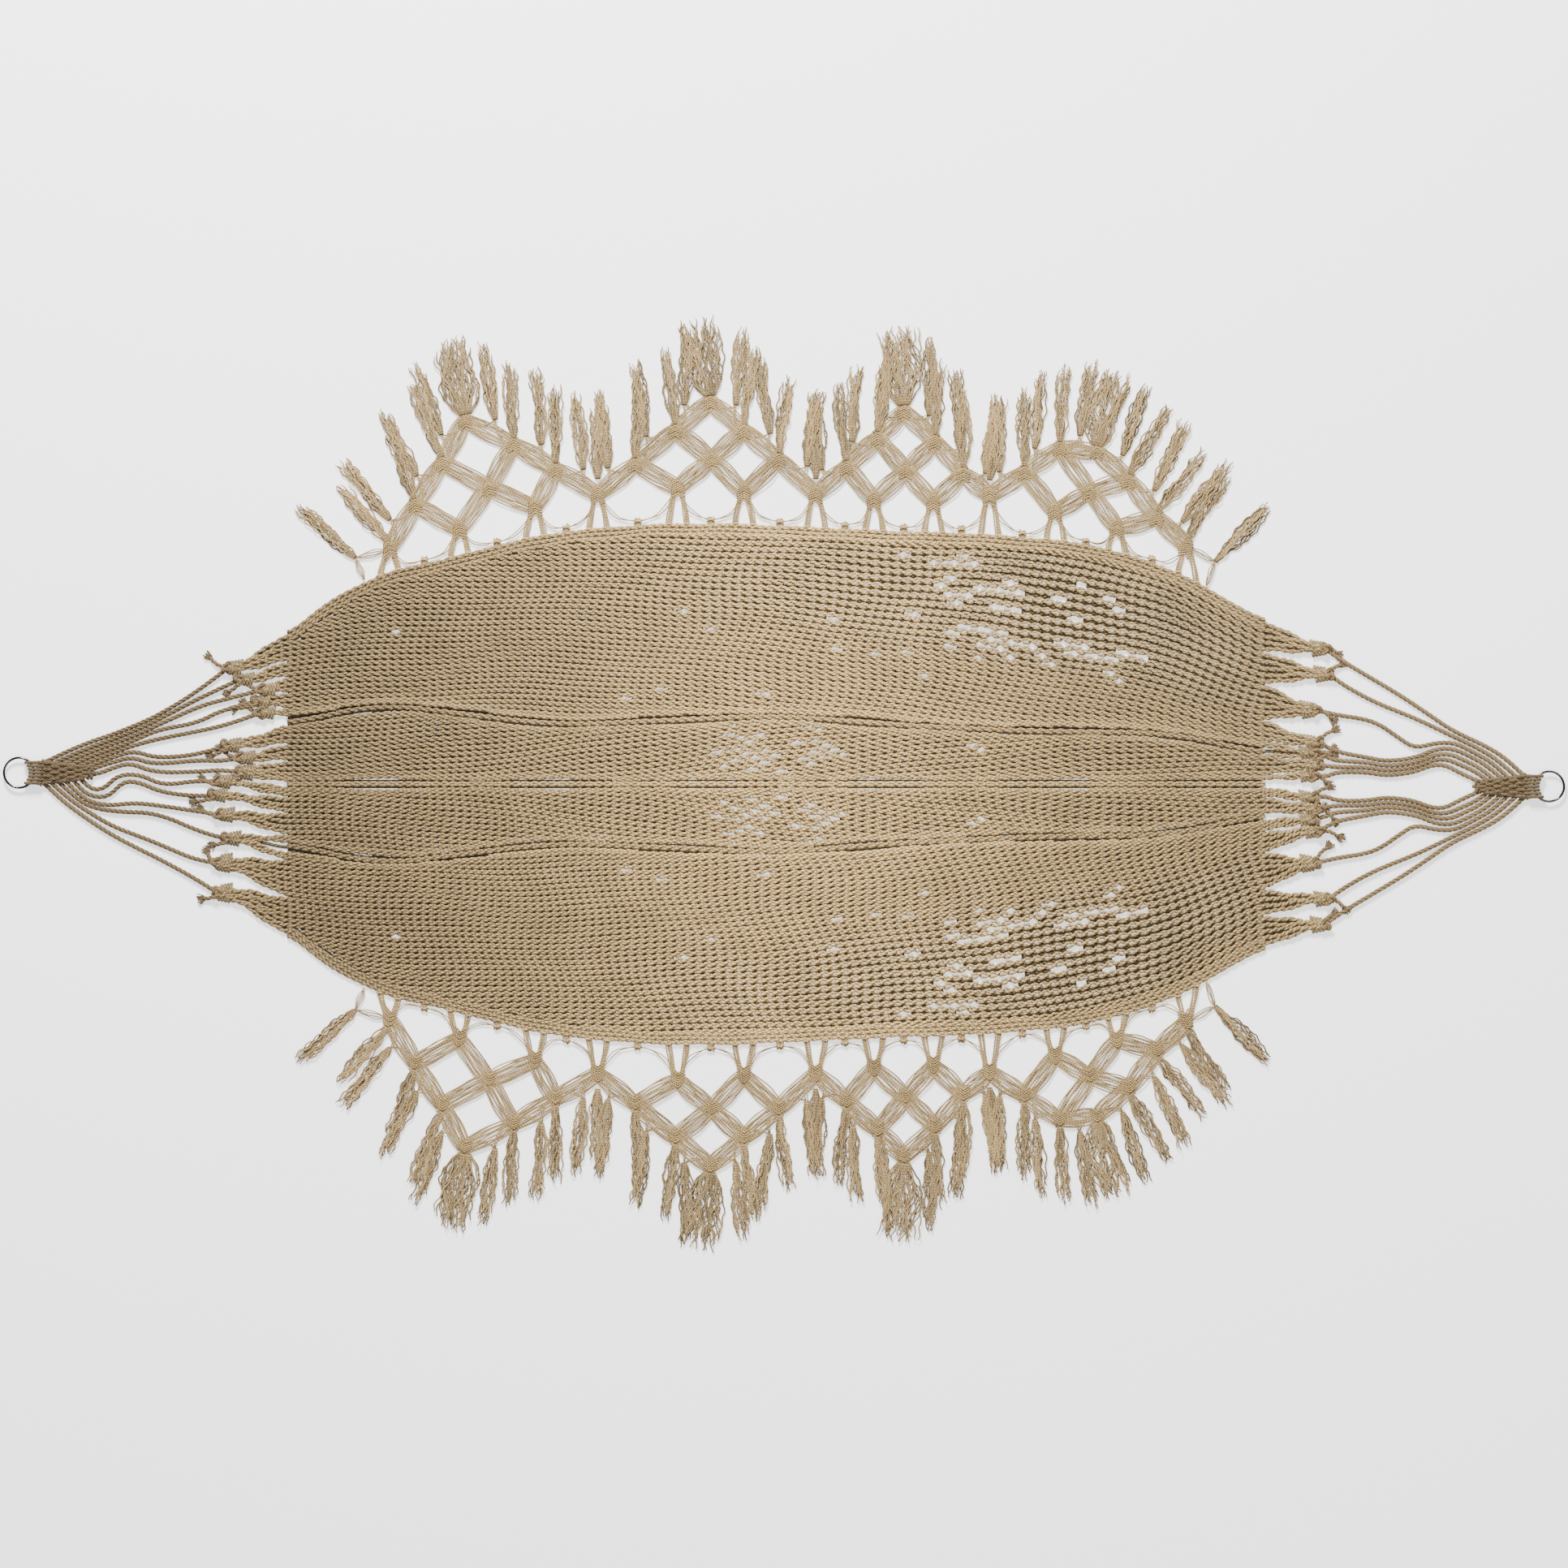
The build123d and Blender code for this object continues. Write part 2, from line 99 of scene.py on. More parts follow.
def make_piece(name, bundle, material):
    """One mesh of all the strands of a bundle, with the run of its fibres for the material."""
    points, fibres, loops, sizes, base = [], [], [], [], 0
    for rings, fibre, shades in bundle:
        count, sides = rings.shape[:2]
        here = base + np.arange(count * sides).reshape(count, sides)
        beside = np.roll(here, -1, axis=1)
        quads = np.stack([here[:-1], beside[:-1], beside[1:], here[1:]], axis=-1)
        loops += [quads.reshape(-1), here[0, ::-1], here[-1]]
        sizes += [np.full((count - 1) * sides, 4), [sides, sides]]
        points.append(rings.reshape(-1, 3))
        fibres.append(fibre.reshape(-1, 3))
        base += count * sides
    sizes = np.concatenate(sizes)
    loops = np.concatenate(loops).astype(np.int32)
    mesh = bpy.data.meshes.new(name)
    mesh.vertices.add(base)
    mesh.vertices.foreach_set("co", (np.concatenate(points) * mm).astype(np.float32).ravel())
    mesh.loops.add(len(loops))
    mesh.loops.foreach_set("vertex_index", loops)
    mesh.polygons.add(len(sizes))
    mesh.polygons.foreach_set("loop_start", (np.cumsum(sizes) - sizes).astype(np.int32))
    mesh.update(calc_edges=True)
    mesh.shade_smooth()
    mesh.attributes.new("fibre", "FLOAT_VECTOR", "POINT").data.foreach_set(
        "vector", np.concatenate(fibres).astype(np.float32).ravel())
    mesh.attributes.new("shade", "FLOAT", "POINT").data.foreach_set(
        "value", np.concatenate([shades.reshape(-1) for _, _, shades in bundle]).astype(np.float32))
    mesh.materials.append(material)
    piece = bpy.data.objects.new(name, mesh)
    bpy.context.scene.collection.objects.link(piece)
    return piece


def linear(colour):
    """An sRGB hex colour as a linear one."""
    parts = [int(colour[i:i + 2], 16) / 255 for i in (0, 2, 4)]
    return [c / 12.92 if c < 0.04045 else ((c + 0.055) / 1.055) ** 2.4 for c in parts] + [1.0]


def add_node(tree, kind, settings=(), links=()):
    """A node with its settings, by name or by input, and the sockets that feed its inputs."""
    node = tree.nodes.new(kind)
    for name, value in dict(settings).items():
        if isinstance(name, str) and hasattr(node, name):
            setattr(node, name, value)
        else:
            node.inputs[name].default_value = value
    for name, source in dict(links).items():
        tree.links.new(source, node.inputs[name])
    return node


def cotton(name, crown, groove_painted_shade, plies, lay, fuzz, relief):
    """Spun cotton laid up of plies: the grooves between plies are painted darker, a painted shade, and short
    fibres stand out.
    """
    material = bpy.data.materials.new(name)
    material.use_nodes = True
    tree = material.node_tree
    tree.nodes.clear()
    fibre = add_node(tree, "ShaderNodeAttribute", {"attribute_name": "fibre"})
    parts = add_node(tree, "ShaderNodeSeparateXYZ", {}, {0: fibre.outputs["Vector"]})
    angle = add_node(tree, "ShaderNodeMath", {"operation": "ARCTAN2"},
                     {0: parts.outputs["Y"], 1: parts.outputs["X"]})
    around = add_node(tree, "ShaderNodeMath", {"operation": "MULTIPLY", 1: float(plies)},
                      {0: angle.outputs[0]})
    spiral = add_node(tree, "ShaderNodeMath",
                      {"operation": "MULTIPLY_ADD", 1: 2 * math.pi * plies / (lay * mm)},
                      {0: parts.outputs["Z"], 2: around.outputs[0]})
    wave = add_node(tree, "ShaderNodeMath", {"operation": "SINE"}, {0: spiral.outputs[0]})
    place = add_node(tree, "ShaderNodeTexCoord")
    hairs = add_node(tree, "ShaderNodeTexNoise", {"Scale": 1 / (fuzz * mm), "Detail": 3.0, "Roughness": 0.6},
                     {"Vector": place.outputs["Object"]})
    dye = add_node(tree, "ShaderNodeTexNoise", {"Scale": 1 / (60 * mm), "Detail": 4.0, "Roughness": 0.55},
                   {"Vector": place.outputs["Object"]})
    height = add_node(tree, "ShaderNodeMath", {"operation": "MULTIPLY_ADD", 1: 0.35},
                      {0: wave.outputs[0], 2: hairs.outputs["Fac"]})
    tone = add_node(tree, "ShaderNodeMapRange", {"From Min": 0.1, "From Max": 0.9},
                    {"Value": height.outputs[0]})
    # the grooves' darker colour is a painted shade between the plies
    mixed = add_node(tree, "ShaderNodeMix", {"data_type": "RGBA", 6: linear(groove_painted_shade), 7: linear(crown)},
                     {0: tone.outputs["Result"]})
    patch = add_node(tree, "ShaderNodeMapRange",
                     {"From Min": 0.3, "From Max": 0.7, "To Min": 0.9, "To Max": 1.08},
                     {"Value": dye.outputs["Fac"]})
    shade = add_node(tree, "ShaderNodeAttribute", {"attribute_name": "shade"})
    strength = add_node(tree, "ShaderNodeMath", {"operation": "MULTIPLY"},
                        {0: shade.outputs["Fac"], 1: patch.outputs["Result"]})
    colour = add_node(tree, "ShaderNodeVectorMath", {"operation": "SCALE"},
                      {0: mixed.outputs[2], 3: strength.outputs[0]})
    bump = add_node(tree, "ShaderNodeBump", {"Strength": 0.8, "Distance": relief * mm},
                    {"Height": height.outputs[0]})
    fibres = add_node(tree, "ShaderNodeBsdfPrincipled",
                      {"Roughness": 0.92, "Specular IOR Level": 0.25, "Sheen Weight": 0.12,
                       "Sheen Roughness": 0.6, "IOR": 1.53},
                      {"Base Color": colour.outputs[0], "Normal": bump.outputs[0]})
    add_node(tree, "ShaderNodeOutputMaterial", {}, {"Surface": fibres.outputs[0]})
    return material


# Two-ply cord of spun cotton, undyed taupe: soft and matt, with a lay of 14 mm to the turn.
net_cord = cotton("spun_cotton_net_cord", "D4B985", "836539", 2, 14, 1.6, 0.5)


def smooth(t):
    t = np.clip(t, 0, 1)
    return t * t * (3 - 2 * t)


def rounded(line, reach):
    """A line with its corners averaged out over so many points to each side."""
    share = np.ones(2 * reach + 1) / (2 * reach + 1)
    return np.convolve(np.pad(line, reach, mode="edge"), share, mode="valid")


x = np.arange(left_end_x, right_end_x + ring_step, ring_step)
edge_x, edge_y = np.array(back_edge, float).T
wide_x = np.arange(left_end_x - 60, right_end_x + 61, 2.0)
edge = np.interp(x, wide_x, rounded(np.interp(wide_x, edge_x, edge_y), 12))

# the long fold, where the rows of the side and those of the middle run into each other
fold = rounded(np.interp(x, [-795, -651, -500, -359, -8, 170, 408, 616, 705, 770],
                         [96, 132, 112, 96, 112, 97, 86, 84, 66, 48]), 14)
half_turn = 2 * np.pi * np.concatenate([[0], np.cumsum(ring_step / np.interp(
    x[:-1], [-795, -300, 0, 770], [27.4, 29.5, 32, 32]))])
staggered = smooth((x + 600) / 500)

# the cord is darkest at the left end, lightest a little left of the middle, and darker again towards the
# right end
bed_shade = np.interp(x, [-795, -650, -400, -50, 200, 450, 770], [0.45, 0.54, 0.74, 1.14, 1.08, 0.83, 0.66])


def side_rows():
    """Middle lines of the rows between the fold and the back edge."""
    lines = []
    bend = rounded(np.interp(x, [-400, -200, 0, 200, 400, 600, 770], [0, 9, 28, 54, 86, 122, 178]), 12)
    rise = 1e-4 * np.clip(-400 - x, 0, None) ** 2
    edge_fall = np.where(x > -150, np.clip(416 - edge, 0, None), 0)
    for depth in np.arange(18, 540, row_pitch):
        follow = smooth(depth / 150)
        lines.append(416 - depth - (1 - follow) * edge_fall - follow * bend - rise)
    return np.array(lines)


def middle_rows():
    """Middle lines of the rows between the middle of the bed and the fold."""
    climb = rounded(np.interp(x, [-795, -600, -400, 0, 400, 600, 770], [0, 8, 26, 78, 122, 136, 138]), 12)
    return np.array([start + climb for start in np.arange(128, -142, -row_pitch)])


def slipped(lines):
    """Where the rows have slipped apart: the extra gap under each row, in millimetres."""
    gaps = np.zeros_like(lines)
    places = [(-230, 160, 90, 26, 0.30), (-90, 105, 110, 34, 0.34), (-40, 40, 80, 40, 0.62),
              (60, 60, 70, 40, 0.42), (270, 335, 90, 45, 0.55), (400, 280, 130, 60, 0.46),
              (330, 220, 120, 50, 0.36), (510, 200, 110, 50, 0.34), (-150, 260, 130, 40, 0.14),
              (330, 70, 90, 30, 0.22), (100, 210, 110, 60, 0.16), (-330, 330, 200, 40, 0.04)]
    for k, line in enumerate(lines):
        turns = half_turn + row_stagger * k * staggered
        slow = random.random(64)
        for n in range(int(turns[0] / np.pi) + 1, int(turns[-1] / np.pi)):
            at = np.interp((n + 0.5) * np.pi, turns, x)
            y = np.interp(at, x, line)
            likely = 0.014 + 0.8 * sum(share * np.exp(-((at - cx) / wx) ** 2 - ((y - cy) / wy) ** 2)
                                 for cx, cy, wx, wy, share in places)
            if (n + k) % 2 and 0.35 * slow[(n + k) // 3 % 64] + 0.65 * random.random() < likely:
                gaps[k] += random.uniform(3.6, 6.0) * np.exp(-((x - at) / 5.2) ** 2)
    return gaps


def open_up(lines, gaps):
    """The rows pushed apart by the gaps between them, less and less with each row."""
    moved = lines.copy()
    for k in range(len(lines)):
        for step in range(5):
            share = 0.5 * 0.5 ** step
            if k - step >= 0:
                moved[k - step] += gaps[k] * share
            if k + 1 + step < len(lines):
                moved[k + 1 + step] -= gaps[k] * share
    return moved


def runs(mask, least):
    """The unbroken stretches of a mask."""
    edges = np.flatnonzero(np.diff(np.concatenate([[0], mask.astype(int), [0]])))
    return [slice(a, b) for a, b in zip(edges[::2], edges[1::2]) if b - a >= least]


def twist_row(bundle, px, py, pz, turns, swing, lift, width, thick, shade):
    """The two strands of one row, twisted about its middle line."""
    length = 0
    for start in (0, np.pi):
        own = shade * random.uniform(0.95, 1.05)
        path = np.stack([px, py + swing * np.cos(turns + start), pz + lift * np.sin(turns + start)], -1)
        length += strand(bundle, path, width, thick, (0, 0, 1), shade=own)
    return length


def lay_rows(lines, keep, settle, heights):
    """Rows of twisted cord with the loops that tie each to the next, which lie deeper."""
    gaps = slipped(lines)
    lines = settle(open_up(lines, gaps))
    rows, ends = [], []
    spacing = np.clip(np.abs(np.gradient(lines, axis=0)) / row_pitch, 0.7, 1.45)
    for k, line in enumerate(lines):
        turns = half_turn + row_stagger * k * staggered + random.uniform(-0.35, 0.35)
        turns = turns + 1.3 * np.sin(x / 83 + 0.4 * k)
        sway = 0.35 * np.sin(x / 19 + random.uniform(0, 6)) + 1.6 * np.sin(x / 47 + 0.17 * k)
        shade = bed_shade * random.uniform(0.96, 1.04)
        bundle, length = [], 0
        for run in runs(keep[k], 8):
            swing = (strand_swing * spacing[k] * (1 - 0.08 * gaps[k]))[run]
            length += twist_row(bundle, x[run], (line + sway)[run], heights[k][run], turns[run],
                                swing, strand_lift, strand_width, strand_thick, shade[run])
            if run.start == 0:
                ends.append(("left", line[0] + sway[0], turns[0]))
            if run.stop == len(x):
                ends.append(("right", line[-1] + sway[-1], turns[-1]))
        if k + 1 < len(lines):
            between = (line + lines[k + 1]) / 2
            shut = keep[k] & keep[k + 1] & (gaps[k] < 0.9)
            for run in runs(shut, 5):
                picked = slice(run.start, run.stop, 2)
                path = np.stack([x[picked], between[picked], heights[k][picked] - loop_drop], -1)
                wide = 5.6 * spacing[k][picked] + 0.8
                length += 0.5 * wide.mean() / strand_width * strand(
                    bundle, path, wide, loop_thick, (0, 0, 1), sides=4, shade=loop_shade * shade[picked])
        if bundle:
            rows.append((bundle, length))
    return rows, ends


def towards(lines, limit, above, soft=5.0):
    """Lines that bend and run along a limit instead of crossing it."""
    sign = 1 if above else -1
    return limit + sign * soft * np.logaddexp(0, sign * (lines - limit) / soft)


side_lines = side_rows()
side_keep = (side_lines < edge - 17) & (side_lines > fold - 4)
middle_lines = middle_rows()
middle_keep = (middle_lines < fold + 1) & (middle_lines > -2)
fold_rise = 2.2 * np.interp(x, [-795, -560, -300, 200, 770], [1, 1, 0.35, 0.25, 0.6])
side_heights = row_height + fold_rise * np.exp(-(np.clip(side_lines - fold, 0, None) / 13) ** 2)
middle_heights = np.full_like(middle_lines, row_height - 0.4)
side_laid, side_ends = lay_rows(side_lines, side_keep, lambda v: towards(v, fold + 5, True), side_heights)
middle_laid, middle_ends = lay_rows(
    middle_lines, middle_keep,
    lambda v: towards(towards(v, fold - 9, False), 7.6, True), middle_heights)

# three closer rows make the selvage that the fringe is tied to
selvage, selvage_length = [], 0
for k in range(3):
    line = edge - 3.2 - 6.6 * k
    turns = half_turn * 1.15 + 1.3 * k
    selvage_length += twist_row(selvage, x, line + 0.6 * np.sin(x / 17 + k), 0 * x + row_height, turns,
                                1.8, 1.4, strand_width, strand_thick, bed_shade * 1.02)
# one row runs along the fold, and one along the middle of the bed; the fold's row is painted darker, a
# painted shade in the crease
flat = np.zeros_like(x)
for line, rise, painted_crease_shade in ((fold - 2, 0.5 * fold_rise, 0.84), (flat, flat, 1.0)):
    selvage_length += twist_row(selvage, x, line, row_height + rise, half_turn, strand_swing, strand_lift,
                                strand_width, strand_thick, painted_crease_shade * bed_shade)
# the loops that tie these rows lie deeper and are painted darker, a painted shade from the rows over them
for line in (edge - 6.5, edge - 13.1, edge - 19.7, fold - 6, fold + 2, fold + 7, flat + 4.2):
    selvage_length += strand(selvage, np.stack([x[::2], line[::2], 0 * x[::2] + row_height - loop_drop], -1),
                             loop_width, loop_thick, (0, 0, 1), sides=4, shade=0.7 * bed_shade[::2])
side_ends.append(("left", edge[0] - 10, 0.0))
side_ends.append(("right", edge[-1] - 10, 0.0))

third = -(-len(side_laid) // 3)
net_parts = [([s for b, _ in part for s in b], sum(length for _, length in part))
             for part in ([(selvage, selvage_length)] + side_laid[:third],
                          side_laid[third:2 * third], side_laid[2 * third:], middle_laid)]
net_pieces = {"back": [], "front": []}
for number, (bundle, length) in enumerate(net_parts):
    for side_name in ("back", "front"):
        own = bundle if side_name == "back" else front_copy(bundle)
        piece = make_piece(f"{side_name}_net_{number + 1}", own, net_cord)
        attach(piece, "bed")
        net_pieces[side_name].append((piece, length * mm))
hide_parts("bed_net")

# ---------------------------------------------------------------- tabs of the bed
# At each end the rows of the net gather into fourteen tabs, still of the same twisted cotton cord.
# Each tab is drawn together and wound with its own last turns where a rope of the clew is tied.
left_knots = [
    (-890, 186), (-872, 167), (-836, 151), (-846, 132), (-838, 114), (-893, 62), (-871, 42),
    (-871, 19), (-907, 4), (-915, -18), (-903, -49), (-893, -87), (-907, -126), (-907, -174),
]
left_tabs = [216, 187, 162, 136, 110, 77, 48, 20, -7, -35, -67, -104, -150, -208]
left_tab_widths = [48, 26, 24, 24, 26, 30, 27, 26, 26, 28, 34, 40, 50, 62]
right_knots = [
    (866, 217), (872, 176), (850, 119), (856, 67), (848, 49), (856, 31), (848, 13),
    (848, -21), (856, -39), (848, -57), (856, -75), (850, -127), (872, -184), (866, -225),
]
right_tabs = [236, 186, 130, 80, 54, 29, 7, -15, -37, -62, -88, -138, -192, -236]
right_tab_widths = [50, 46, 44, 27, 24, 24, 20, 20, 24, 24, 27, 44, 46, 50]


def make_tabs(end_name, end_x, middles, widths, knots, tab_shade):
    """The rows of one end carried on into the tabs."""
    bundle = []
    ways = [(y, turn, 1) for name, y, turn in side_ends + middle_ends if name == end_name]
    ways += [(-y, turn, -1) for y, turn, _ in ways]
    out = np.sign(end_x)
    taken = [[] for _ in middles]
    for way in ways:
        taken[int(np.argmin([abs(way[0] - m) / w for m, w in zip(middles, widths)]))].append(way)
    for group, middle, width, (kx, ky) in zip(taken, middles, widths, knots):
        group.sort()
        for i, (y, turn, hand) in enumerate(group):
            reach = np.arange(-8, abs(kx - end_x) + 3, 3.6)
            t = np.clip(reach / abs(kx - end_x), 0, 1)
            place = i - (len(group) - 1) / 2
            target = ky + place * 2.3
            py = y + (target - y) * smooth(t ** 0.8) + 2.0 * np.sin(reach / 9 + 2.4 * i) * np.sin(np.pi * t)
            pz = row_height + smooth(t) * (2.2 + 2.4 * (i % 2))
            turns = turn + out * 2 * np.pi * reach / 25
            shrink = 1 - 0.12 * t
            # the loop to the row beside lies deeper and is painted darker, a painted shade from the rows over
            # it
            if i:
                path = np.column_stack([end_x + out * reach, (py + last) / 2, pz - 2.4])[:-4]
                strand(bundle, path, loop_width, 3.2, (0, 0, 1), sides=4, shade=0.6 * tab_shade)
            last = py
            twist_row(bundle, end_x + out * reach, py, pz, turns, hand * 2.0 * shrink, 1.7,
                      5.0 * shrink, 4.0 * shrink, tab_shade)
        # the last turns of the rows are wound round the tab, painted darker by a random amount against the
        # painted highlight that their height gives them
        for k in range(4):
            u = np.linspace(-1, 1, 9)
            half = 4.5 + 1.15 * len(group) + k
            strand(bundle, np.column_stack([kx - out * (5 + 5.2 * k + 2.5 * u), ky + half * u,
                                            3.0 + 6.5 * np.sqrt(1 - 0.96 * u ** 2)]),
                   5.2, 4.2, (0, 0, 1), sides=6, shade=tab_shade * random.uniform(0.66, 0.86))
    return bundle


for end_name, end_x, middles, widths, knots, tab_shade in (
        ("left", left_end_x, left_tabs, left_tab_widths, left_knots, 0.50),
        ("right", right_end_x, right_tabs, right_tab_widths, right_knots, 0.66)):
    tabs = make_piece(f"{end_name}_net_tabs",
                      make_tabs(end_name, end_x, middles, widths, knots, tab_shade), net_cord)
    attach(tabs, "bed")
    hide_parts("bed_net")

# ---------------------------------------------------------------- fringe
# The fringe is knotted from bands of loose cotton threads: four stepped triangles of diamonds on
# each side, with half-hitch knots at the crossings, and short legs and ties down to the selvage.
triangles = [
    [[(-632, 376), (-520, 408), (-399, 443), (-298, 464)],
     [(-591, 447), (-473, 474), (-366, 504)], [(-547, 514), (-433, 544)], [(-511, 582)]],
    [[(-298, 464), (-170, 474), (-64, 467), (51, 464)],
     [(-238, 512), (-116, 520), (-8, 520)], [(-174, 566), (-64, 566)], [(-118, 612)]],
    [[(51, 464), (144, 455), (239, 451), (329, 462)],
     [(100, 508), (195, 502), (287, 497)], [(150, 554), (242, 549)], [(192, 597)]],
    [[(329, 462), (434, 436), (533, 410), (645, 380)],
     [(385, 499), (490, 468), (598, 426)], [(442, 538), (553, 486)], [(501, 532)]],
]
end_ties = [(-672, 327), (676, 317)]
end_roots = [(-686, 362), (690, 356)]
thread = 2.4  # one loose thread, mm
band_threads = 13
band_pitch = 2.3
tassel_root_out = 22.0
fringe_swing_y = 428.0
fringe_height = 4.0
# Single soft-spun threads, paler than the net because they lie open to the light.
fringe_thread = cotton("loose_cotton_thread", "DDBF86", "866639", 2, 9, 1.3, 0.35)


def edge_height(at):
    return np.interp(at, edge_x, edge_y)


def loose_thread(bundle, a, b, bow, wave, size=thread, step=9.0, shade=1.0, height=fringe_height):
    """A thread from a to b that bows to one side and waves a little."""
    a, b = np.array(a, float), np.array(b, float)
    length = np.linalg.norm(b - a)
    count = max(4, int(length / step) + 1)
    t = np.linspace(0, 1, count)
    normal = np.array([-(b - a)[1], (b - a)[0]]) / length
    sway = bow * np.sin(np.pi * t) ** 0.8
    sway = sway + wave * np.sin(t * random.uniform(5, 9) + random.uniform(0, 6)) * np.sin(np.pi * t)
    flat = a + (b - a) * t[:, None] + normal * sway[:, None]
    pz = height + random.uniform(-0.9, 0.9) * np.sin(np.pi * t)
    strand(bundle, np.column_stack([flat, pz]), size, size, (0, 0, 1),
           shade=shade * random.uniform(0.78, 0.94))


def thread_band(bundle, a, b, count=band_threads):
    """A flat band of threads, drawn together at its two knots."""
    a, b = np.array(a, float), np.array(b, float)
    normal = np.array([-(b - a)[1], (b - a)[0]]) / np.linalg.norm(b - a)
    for k in range(count):
        place = (k - (count - 1) / 2) * band_pitch
        tight = normal * place * 0.8
        loose_thread(bundle, a + tight, b + tight, place * 0.22 + random.uniform(-1.0, 1.0), 1.1)


def hitch_knot(bundle, at, width=24.0, rows=5, tilt=0.0):
    """A stack of half hitches, each a ridge that falls away to both sides."""
    c, s = math.cos(tilt), math.sin(tilt)
    for k in range(rows):
        half = width / 2 * (0.72 + 0.28 * math.sin(math.pi * (k + 0.7) / rows))
        u = np.linspace(-1, 1, 9)
        px = half * u
        py = (k - (rows - 1) / 2) * 3.8 - 6.5 * np.abs(u) + random.uniform(-0.4, 0.4)
        pz = fringe_height - 0.4 + 1.9 * (1 - u ** 2)
        path = np.column_stack([at[0] + px * c - py * s, at[1] + px * s + py * c, pz])
        strand(bundle, path, 3.0, 3.4, (0, 0, 1), sides=6, shade=random.uniform(0.6, 0.84))
    for k in range(6):
        px = (k - 2.5) * 2.6
        ends = [(at[0] + px * c - y * s, at[1] + px * s + y * c) for y in (-12, 12)]
        loose_thread(bundle, *ends, 0, 0.3, size=2.8, step=4, height=fringe_height - 0.4, shade=0.85)


def between(a, b):
    """Where the tassel between two outer knots is tied, clear of the band."""
    length = math.hypot(b[0] - a[0], b[1] - a[1])
    return ((a[0] + b[0]) / 2 - (b[1] - a[1]) / length * tassel_root_out,
            (a[1] + b[1]) / 2 + (b[0] - a[0]) / length * tassel_root_out)


def lean_at(px):
    """How far the tassels lean outwards, in radians."""
    return math.radians(44) * (px / 680) ** 3


def chain_of(rows):
    """The knots along the stepped outer side of a triangle, and round its top."""
    return [row[0] for row in rows] + [row[-1] for row in reversed(rows[:-1])]


fringe_pieces = {"back": [], "front": []}


def both_sides(name, bundle, nodes, rides):
    """A piece of the back fringe and its copy in the front fringe."""
    for side_name, own in (("back", bundle), ("front", front_copy(bundle))):
        piece = make_piece(f"{side_name}_{name}", own, fringe_thread)
        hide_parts(*[f"{side_name}_{node}" for node in nodes])
        if rides == "both":
            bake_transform(piece)
        else:
            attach(piece, f"{side_name}_fringe" if rides == "fringe" else "bed")
        fringe_pieces[side_name].append(piece)


for number, rows in enumerate(triangles):
    bundle = []
    for lower, upper in zip(rows, rows[1:]):
        for i, knot in enumerate(upper):
            thread_band(bundle, lower[i], knot)
            thread_band(bundle, lower[i + 1], knot)
    for level, row in enumerate(rows):
        for knot in row[1:] if number and level == 0 else row:
            hitch_knot(bundle, knot, 23, 7 if level == 0 else 5,
                       -lean_at(knot[0]) * 0.5 + random.uniform(-0.1, 0.1))
    chain = chain_of(rows)
    for a, b in zip(chain, chain[1:]):
        root = between(a, b)
        for share in (0.22, 0.78):
            foot = (a[0] + (b[0] - a[0]) * share, a[1] + (b[1] - a[1]) * share)
            for k in range(3):
                loose_thread(bundle, foot, (root[0] + random.uniform(-2, 2), root[1] + random.uniform(-2, 2)),
                             (share - 0.5) * 12 + 2.2 * (k - 1), 0.8, size=1.8, step=6)
    both_sides(f"fringe_band_{number + 1}", bundle, [f"fringe_{number + 1}"], "both")

base_knots = triangles[0][0] + [knot for rows in triangles[1:] for knot in rows[0][1:]]
bundle = []
for px, py in base_knots:
    for step in (-15, 15):
        foot = (px + step, edge_height(px + step) - 5)
        for k in range(5):
            spread = 2.1 * (k - 2)
            loose_thread(bundle, (px + step / 3 + spread * 0.7, py - 6), (foot[0] + spread, foot[1]),
                         step * 0.08 + random.uniform(-0.8, 0.8), 0.5, step=6)
        strand(bundle, [(foot[0] - 6, foot[1] + 3, 5.0), (foot[0] - 2, foot[1] + 5.4, 6.2),
                        (foot[0] + 2, foot[1] + 5.4, 6.2), (foot[0] + 6, foot[1] + 3, 5.0)],
               3.6, 3.4, (0, 0, 1))
for a, b in zip(base_knots, base_knots[1:]):
    middle = (a[0] + b[0]) / 2
    tie = (middle, edge_height(middle) + 6)
    for knot, sign in ((a, -1), (b, 1)):
        for k in range(2):
            loose_thread(bundle, (knot[0] - sign * 7, knot[1] - 5), (tie[0] + sign * 2, tie[1] + 2 * k),
                         sign * (10 + 4.5 * k), 1.2, size=1.8, step=6)
    for k in range(6):
        loose_thread(bundle, (tie[0] + (k - 2.5) * 1.6, tie[1] + random.uniform(3, 7)),
                     (tie[0] + (k - 2.5) * 2.2, tie[1] - 11), 0, 0.5, step=5)
    strand(bundle, [(tie[0] - 5.5, tie[1] - 2, 4.6), (tie[0] - 2, tie[1] + 0.6, 6.0),
                    (tie[0] + 2, tie[1] + 0.6, 6.0), (tie[0] + 5.5, tie[1] - 2, 4.6)], 3.8, 3.4, (0, 0, 1))
for tie, root, knot in zip(end_ties, end_roots, (base_knots[0], base_knots[-1])):
    for k in range(4):
        loose_thread(bundle, tie, root, 3.0 * (k - 1.5), 1.0, size=1.8, step=6)
        loose_thread(bundle, knot, root, 3.0 * (k - 1.5), 1.0, size=1.8, step=6)
both_sides("fringe_feet", bundle, ["fringe_ties"], "both")

# ---------------------------------------------------------------- tassels
# The ends of the same threads hang free below each knot and tie as tassels, wavy where they were
# knotted and brushed out at the tips.
tassel_length = 128.0
tassel_threads = 18


